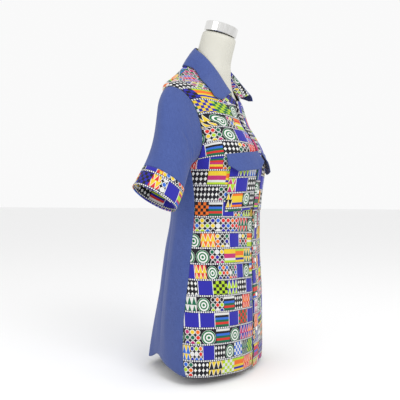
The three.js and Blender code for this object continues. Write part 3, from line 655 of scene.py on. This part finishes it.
@dataclass
class DressBody:
    """Fronts, back, yoke, button band, pockets and flaps."""

    skirt: float = 18 / 32
    chest: float = 24 / 32
    back_skirt: float = 0.75
    right_edge: float = 17.0
    left_edge: float = -14.5
    band_edges: tuple[float, float] = (-16.0, 20.0)
    band_lift: float = 3.0
    pocket_arc: tuple[float, float] = (24.0, 138.0)
    pocket_top: float = 602.0
    pocket_height: float = 142.0
    pocket_slant: float = 5.0
    pocket_tilt: float = 6.0
    pocket_lift: float = 2.0
    flap_arc: tuple[float, float] = (17.0, 150.0)
    flap_top: float = 624.0
    flap_height: float = 47.0
    flap_clip: float = 0.2
    flap_tilt: float = 15.0
    flap_proud: float = 14.0
    flap_lift: float = 4.2

    def front_at(self, edge_x: float) -> PointAt:
        """The front whose centre edge lies edge_x to the wearer's right."""

        def at(u: Array, v: Array) -> Array:
            """Points of this front."""
            t = np.clip(v / self.skirt, 0, 1)
            z1 = lerp(HEM_Z, UNDERARM, t)
            z0 = lerp(hem_height(0), UNDERARM, t)
            side = seam_angle(z1) - 0.06
            a_low = lerp(angle_at_x(edge_x, z0), side, u)
            z_low = lerp(hem_height(folded(a_low)), UNDERARM, t)
            s = np.clip((v - self.skirt) / (1 - self.skirt), 0, 1)
            hole_a, hole_z = armhole(180 - 180 * s)
            rise = np.clip((v - self.skirt) / (self.chest - self.skirt), 0, 1)
            neck = np.clip((v - self.chest) / (1 - self.chest), 0, 1)
            z_mid = lerp(UNDERARM, NECK_PIT_Z, rise)
            a_mid = angle_at_x(edge_x, z_mid)
            a_neck = lerp(a_mid, SHOULDER_A, neck)
            z_left = np.where(v <= self.chest, z_mid, neck_height(folded(a_neck)))
            a_up = lerp(a_neck, hole_a - 0.1, u)
            z_up = lerp(z_left, hole_z, u)
            low = v <= self.skirt
            return dress_out(np.where(low, a_low, a_up), np.where(low, z_low, z_up), np.full(u.shape, CLOTH))

        return at

    def back_at(self, u: Array, v: Array) -> Array:
        """Points of the back panel."""
        share = self.back_skirt
        t = np.clip(v / share, 0, 1)
        side = seam_angle(lerp(HEM_Z, UNDERARM, t)) + 0.06
        a_low = lerp(side, 360 - side, u)
        z_low = lerp(hem_height(folded(a_low)), UNDERARM, t)
        s = np.clip((v - share) / (1 - share), 0, 1)
        hole_a, hole_z = armhole(lerp(180, YOKE_W, s))
        a_up = lerp(hole_a + 0.1, 360 - hole_a - 0.1, u)
        low = v <= share
        z = np.where(low, z_low, hole_z - 0.3 * s)
        return dress_out(np.where(low, a_low, a_up), z, np.full(u.shape, CLOTH))

    def yoke_at(self, u: Array, v: Array) -> Array:
        """Points of the yoke, over the upper back and both shoulders."""
        cols, neck_cols = 19.0, 7.0
        k = np.abs(u - 0.5) * 2 * cols
        side_a, side_z = armhole(lerp(YOKE_W, 360, v))
        foot_a = armhole(np.array(YOKE_W))[0]
        t = np.clip((k - neck_cols) / (cols - neck_cols), 0, 1)
        on_neck = k < neck_cols
        neck_a = lerp(180, SHOULDER_A + 0.4, np.clip(k / neck_cols, 0, 1))
        top_a = np.where(on_neck, neck_a, lerp(SHOULDER_A, 90, t) + 0.3)
        top_z = np.where(on_neck, neck_height(top_a), lerp(neck_height(SHOULDER_A), HOLE_Z + HOLE_HEIGHT, t))
        near = (k / cols) ** 3
        a = lerp(lerp(180, foot_a, k / cols), top_a, v) + near * (side_a - lerp(foot_a, 90, v))
        z = lerp(YOKE_Z, top_z, v) + near * (side_z - lerp(YOKE_Z, HOLE_Z + HOLE_HEIGHT, v))
        a = np.where(u < 0.5, a, 360 - a)
        return dress_out(a, z, np.full(u.shape, CLOTH))

    def band_at(self, u: Array, v: Array) -> Array:
        """Points of the button band."""
        z = lerp(hem_height(0), NECK_PIT_Z, v)
        a = angle_at_x(lerp(*self.band_edges, u), z)
        return dress_out(a, z, np.full(u.shape, CLOTH + self.band_lift))

    def pocket_at(self, u: Array, v: Array) -> Array:
        """Points of a patch pocket."""
        z = self.pocket_top - self.pocket_height * (1 - v) - self.pocket_tilt * u
        arc = lerp(*self.pocket_arc, u) + self.pocket_slant * u * (1 - v)
        return dress_out(angle_at_arc(arc, z), z, np.full(u.shape, CLOTH + self.pocket_lift))

    def flap_at(self, u: Array, v: Array) -> Array:
        """Points of a pocket flap, which lifts toward its free edge."""
        down = 1 - v
        corner = np.clip(np.minimum(u, 1 - u) / self.flap_clip, 0, 1)
        z = self.flap_top - self.flap_tilt * u - self.flap_height * lerp(0.62, 1, corner) * down
        proud = self.flap_proud * down**1.3 * lerp(1.25, 0.75, u) + 1.2 * np.sin(u * 9) * down
        return dress_out(angle_at_arc(lerp(*self.flap_arc, u), z), z, CLOTH + self.flap_lift + proud)

    def sheets(self) -> list[Sheet]:
        """All the sheets of the body of the dress."""
        printed, blue = Cloth.PRINT, Cloth.CHAMBRAY
        return [
            Sheet("front_right_cloth", "front_right", printed, 60, 150, self.front_at(self.right_edge),
                  FRONT_CREASES),
            Sheet("front_left_cloth", "front_left", printed, 60, 150, self.front_at(self.left_edge),
                  FRONT_CREASES, mirrored=True, uv_from=(0.37, 0.11)),
            Sheet("back_cloth", "back", blue, 120, 110, self.back_at, BACK_CREASES),
            Sheet("back_yoke_cloth", "back_yoke", printed, 114, 24, self.yoke_at, uv_from=(0.9, 0.31)),
            Sheet("button_band_cloth", "button_band", printed, 8, 150, self.band_at, uv_from=(1.7, 0.02),
                  wall=1.3),
            Sheet("pocket_right_cloth", "pocket_right", printed, 24, 28, self.pocket_at, uv_from=(2.1, 0.6),
                  upside_down=True, rests_on=("front_right",)),
            Sheet("pocket_left_cloth", "pocket_left", printed, 24, 28, self.pocket_at, uv_from=(2.5, 0.9),
                  upside_down=True, mirrored=True, rests_on=("front_left",)),
            Sheet("pocket_flap_right_cloth", "pocket_flap_right", blue, 40, 14, self.flap_at, wall=1.6,
                  rests_on=("front_right",)),
            Sheet("pocket_flap_left_cloth", "pocket_flap_left", blue, 40, 14, self.flap_at, wall=1.6,
                  mirrored=True, rests_on=("front_left",)),
        ]


@dataclass
class Sleeve:
    """One sleeve and its turned band."""

    centre: Array = field(default_factory=lambda: np.array([-295.0, 44.0, 490.0]))
    along: Array = field(default_factory=lambda: unit(np.array([-0.54, 0.24, -0.806])))
    major: Array = field(default_factory=lambda: unit(np.array([0.326, -0.807, -0.49])))
    wide: float = 62.0
    deep: float = 42.0
    band: float = 56.0

    def line(self, w: Array, v: Array) -> Array:
        """Points down the sleeve at w round it.

        Args:
            w: degrees round the armhole from its top by the front.
            v: share of the way from the armhole to the mouth.

        Returns:
            Points in millimetres.
        """
        minor = unit(np.cross(self.along, self.major))
        a, z = armhole(w)
        start = dress_out(a, z, np.full(np.shape(a), CLOTH))
        into = unit(dress_at(np.array(90.0), np.array(HOLE_Z)) - start)
        start = start + into * 0.8
        s, c = np.sin(np.radians(w))[..., None], np.cos(np.radians(w))[..., None]
        end = self.centre + self.major * self.wide * s + minor * self.deep * c
        reach = np.linalg.norm(end - start, axis=-1, keepdims=True)
        top = 0.5 + 0.5 * c
        sideways, backwards = np.full_like(top, -0.8), np.full_like(top, 0.04)
        leave = unit(np.concatenate([sideways, backwards, lerp(-0.35, -0.6, top)], -1))
        b = start + leave * reach * lerp(0.25, 0.33, top)
        d = end - self.along * reach * 0.38
        v = np.asarray(v)[..., None]
        k = 1 - v
        return start * k**3 + b * 3 * k * k * v + d * 3 * k * v * v + end * v**3

    def share(self, w: Array) -> Array:
        """The share of the sleeve at which its band starts."""
        reach = np.linalg.norm(self.line(w, np.ones(w.shape)) - self.line(w, np.zeros(w.shape)), axis=-1)
        return 1 - self.band / (reach * 1.04)

    def sleeve_at(self, u: Array, v: Array) -> Array:
        """Points of the chambray part."""
        w = 360 * u
        return self.line(w, v * (self.share(w) - 0.001))

    def band_at(self, u: Array, v: Array) -> Array:
        """Points of the print band, a little proud of the sleeve."""
        w = 360 * u
        p = self.line(w, lerp(self.share(w), 1.0, v))
        return p + unit(p - p.mean(axis=1, keepdims=True)) * 0.8

    def sheets(self) -> list[Sheet]:
        """Both sleeves and both bands."""
        out = []
        for side, mirrored, offset in (("right", False, 0.0), ("left", True, 0.5)):
            out.append(Sheet(f"sleeve_{side}_cloth", f"sleeve_{side}", Cloth.CHAMBRAY, 96, 60, self.sleeve_at,
                             SLEEVE_CREASES, closed=True, mirrored=mirrored, wall=1.3))
            out.append(Sheet(f"sleeve_band_{side}_cloth", f"sleeve_band_{side}", Cloth.PRINT, 96, 14,
                             self.band_at, closed=True, mirrored=mirrored, wall=1.6,
                             uv_from=(3.0 + offset, 0.2)))
        return out


COLLAR_NAMES = ("k", "foot", "fx", "fy", "fz", "edge", "height", "off")
COLLAR_ROWS = (
    (-1.0, 13, -36, -68, 792, 42, 762, 5),
    (-0.9, 18, -41, -59, 807, 52, 767, 5),
    (-0.76, 26, -46, -42, 834, 55, 788, 5),
    (-0.56, 42, -54, -20, 866, 60.5, 820, 4),
    (-0.4, 62, -60, 6, 896, 71, 853, 4),
    (-0.2, 100, -43, 42, 924, 98, 868, 4),
    (0, 180, 0, 55, 936, 180, 876, 6),
    (0.2, 260, 43, 42, 924, 262, 868, 4),
    (0.4, 298, 60, 6, 898, 289, 853, 4),
    (0.56, 318, 60, -26, 876, 299, 822, 6),
    (0.76, 334, 62, -54, 843, 305, 794, 14),
    (0.9, 342, 63, -74, 818, 318, 776, 24),
    (1.0, 347, 62, -88, 800, 330, 770, 34),
)


@dataclass
class Collar:
    """The print inside of the collar and the chambray leaf folded over it."""

    def __post_init__(self) -> None:
        """Makes the columns of the collar's table."""
        keys = [r[0] for r in COLLAR_ROWS]
        self.col = {n: column(keys, [r[i] for r in COLLAR_ROWS]) for i, n in enumerate(COLLAR_NAMES)}

    def fold(self, k: Array) -> Array:
        """The fold line."""
        return np.stack([self.col["fx"](k), self.col["fy"](k), self.col["fz"](k)], -1)

    def stem_at(self, u: Array, v: Array) -> Array:
        """Points of the stand, from the neckline to the fold."""
        k = 2 * u - 1
        a = self.col["foot"](k)
        foot = dress_out(a, neck_height(folded(a)) + 4, np.full(a.shape, CLOTH))
        p = lerp(foot, self.fold(k), v[..., None])
        away = unit((np.array([0, 10.0, 0]) - p) * np.array([1, 1, 0]))
        return p + away * (4 * v * (1 - v))[..., None]

    def leaf_at(self, u: Array, v: Array) -> Array:
        """Points of the leaf, from just over the fold to its free edge."""
        k = 2 * u - 1
        share = v**1.7
        start = self.fold(k)
        stem = unit(start - self.stem_at(u, np.zeros(u.shape)))
        away = unit((np.array([0, 10.0, 0]) - start) * np.array([1, 1, 0]))
        start = start + stem * 2.0 + away * 1.4
        end = dress_out(self.col["edge"](k), self.col["height"](k), CLOTH + self.col["off"](k))
        run = end - start
        along = self.fold(np.minimum(k + 0.02, 1)) - self.fold(np.maximum(k - 0.02, -1))
        up = unit(np.cross(along, run))
        up = np.where(up[..., 2:] < 0, -up, up)
        puff = 11.2 * np.sqrt(share) * (1 - share)
        return start + run * share[..., None] + up * puff[..., None]

    def sheets(self) -> list[Sheet]:
        """The stand and the leaf."""
        return [
            Sheet("collar_stand_cloth", "collar_stand", Cloth.PRINT, 110, 14, self.stem_at, wall=1.0,
                  uv_from=(4.2, 0.4), held="folded"),
            Sheet("collar_leaf_cloth", "collar_leaf", Cloth.CHAMBRAY, 130, 30, self.leaf_at, wall=1.4,
                  held="folded"),
        ]


# ------------------------------------------------------------------ hard pieces
@dataclass
class Buttons:
    """Buttons with a rim and a dish."""

    radius: float = 5.8
    thickness: float = 2.4
    top: float = 706.0
    pitch: float = 98.0
    count: int = 7

    def build(self, material: bpy.types.Material) -> None:
        """Models one button and sets a copy at each place."""
        bpy.ops.object.select_all(action="DESELECT")
        bpy.ops.mesh.primitive_cylinder_add(vertices=40, radius=self.radius * MM, depth=self.thickness * MM,
                                            location=(0, 0, self.thickness * MM / 2))
        one = bpy.context.object
        bpy.ops.object.transform_apply(location=True, rotation=True, scale=True)
        bpy.ops.object.mode_set(mode="EDIT")
        bpy.ops.mesh.select_mode(type="FACE")
        bpy.ops.mesh.select_all(action="DESELECT")
        bm = bmesh.from_edit_mesh(one.data)
        for face in bm.faces:
            face.select = face.normal.z > 0.9
        bmesh.update_edit_mesh(one.data)
        bpy.ops.mesh.inset(thickness=self.radius * MM * 0.22)
        bpy.ops.mesh.inset(thickness=self.radius * MM * 0.08, depth=-self.thickness * MM * 0.25)
        bpy.ops.object.mode_set(mode="OBJECT")
        bevel = one.modifiers.new("edge", "BEVEL")
        bevel.width, bevel.segments = 0.4 * MM, 3
        bpy.ops.object.modifier_apply(modifier=bevel.name)
        for polygon in one.data.polygons:
            polygon.use_smooth = True
        one.data.materials.append(material)
        for i in range(self.count):
            z = np.array(self.top - i * self.pitch)
            a = np.array(0.0)
            place = dress_out(a, z, np.array(CLOTH + 3.2)) * MM
            facing = Vector(dress_out(a, z, np.array(1.0)) - dress_at(a, z))
            turn = facing.to_track_quat("Z", "Y").to_matrix().to_4x4()
            piece = bpy.data.objects.new(f"button_{i + 1}_sewn", one.data.copy())
            bpy.context.scene.collection.objects.link(piece)
            piece.data.transform(turn)
            piece.data.transform(Matrix.Translation(Vector(place)))
            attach(piece, "root")
            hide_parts(f"button_{i + 1}")
        bpy.data.objects.remove(one)
        LOG.info("%d buttons", self.count)


@dataclass
class DressForm:
    """The torso and neck as one smooth shell, and the metal parts in their finishes."""

    def build(self, skin: bpy.types.Material, metal: bpy.types.Material) -> None:
        """Smooths a copy of the torso and gives the CAD metal parts their finish."""
        bpy.ops.object.select_all(action="DESELECT")
        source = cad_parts["form_body"]
        mesh = source.data.copy()
        mesh.materials.clear()
        body = bpy.data.objects.new("form_body_smooth", mesh)
        bpy.context.scene.collection.objects.link(body)
        bm = bmesh.new()
        bm.from_mesh(mesh)
        bmesh.ops.remove_doubles(bm, verts=bm.verts, dist=1e-5)
        bm.to_mesh(mesh)
        bm.free()
        bpy.context.view_layer.objects.active = body
        smooth = body.modifiers.new("skin", "SUBSURF")
        smooth.levels = smooth.render_levels = 1
        bpy.ops.object.modifier_apply(modifier=smooth.name)
        for polygon in body.data.polygons:
            polygon.use_smooth = abs(polygon.normal.z) < 0.97
        body.data.materials.append(skin)
        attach(body, "root")
        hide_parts("form_body")
        for name in ("neck_cap", "stand_pole", "stand_base"):
            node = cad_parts[name]
            node.data.materials.clear()
            node.data.materials.append(metal)
        LOG.info("dress form and stand")


# ------------------------------------------------------------------ studio
@dataclass(frozen=True)
class Studio:
    """Pale floor, soft lamps and the camera."""

    distance: float = 1.77
    height: float = 0.486
    turn: float = 22.0
    lens: float = 54.0
    shift: float = -0.035

    def build(self) -> None:
        """Sets the floor, the lamps, the world and the camera."""
        bpy.ops.object.select_all(action="DESELECT")
        bpy.ops.mesh.primitive_plane_add(size=60, location=(0, 0, 0))
        floor = bpy.context.object
        floor.name = "floor"
        paint = bpy.data.materials.new("pale floor")
        paint.use_nodes = True
        paint.node_tree.nodes["Principled BSDF"].inputs["Base Color"].default_value = (0.9, 0.9, 0.9, 1)
        paint.node_tree.nodes["Principled BSDF"].inputs["Roughness"].default_value = 0.9
        floor.data.materials.append(paint)
        world = bpy.data.worlds.new("studio")
        bpy.context.scene.world = world
        world.use_nodes = True
        world.node_tree.nodes["Background"].inputs[0].default_value = (1, 1, 1, 1)
        world.node_tree.nodes["Background"].inputs[1].default_value = 0.95
        for name, spot, size, power in (
            ("key", (-1.6, -2.2, 2.4), 1.6, 46),
            ("fill", (-2.6, 0.9, 1.6), 1.8, 16),
        ):
            lamp = bpy.data.lights.new(name, "AREA")
            lamp.size, lamp.energy = size, power
            body = bpy.data.objects.new(name, lamp)
            body.location = spot
            body.rotation_euler = (Vector((0, 0, 0.5)) - Vector(spot)).to_track_quat("-Z", "Y").to_euler()
            bpy.context.scene.collection.objects.link(body)
        camera = bpy.data.cameras.new("camera")
        camera.lens, camera.sensor_width, camera.shift_x = self.lens, 36.0, self.shift
        eye = bpy.data.objects.new("camera", camera)
        toward = Vector((math.cos(math.radians(self.turn)), math.sin(math.radians(self.turn)), 0))
        eye.location = -toward * self.distance + Vector((0, 0, self.height))
        eye.rotation_euler = toward.to_track_quat("-Z", "Y").to_euler()
        bpy.context.scene.collection.objects.link(eye)
        bpy.context.scene.camera = eye
        bpy.context.scene.view_settings.view_transform = "Standard"


def main() -> None:
    """Builds each part of the object in order."""
    logging.basicConfig(level=logging.INFO, format="%(message)s")
    weave, patchwork = weave_group(), patchwork_group()
    finish = {
        Cloth.PRINT: ClothFinish("wax print cotton", weave, patchwork).make(),
        Cloth.CHAMBRAY: ClothFinish("indigo chambray", weave).make(),
    }
    for sheet in DressBody().sheets() + Sleeve().sheets() + Collar().sheets():
        sheet.build(finish[sheet.cloth])
    pearl = HardFinish("pearl button", (0.86, 0.85, 0.80, 1), (0.70, 0.70, 0.68, 1), 0.25,
                       stretch=(400, 400, 400))
    skin = HardFinish("form skin", (0.50, 0.49, 0.43, 1), (0.56, 0.55, 0.49, 1), 0.5)
    metal = HardFinish("brushed chrome", (0.62, 0.61, 0.58, 1), (0.90, 0.90, 0.90, 1), 0.12, 1.0,
                       (160, 160, 4))
    Buttons().build(pearl.make())
    DressForm().build(skin.make(), metal.make())
    Studio().build()


if __name__ == "__main__":
    main()
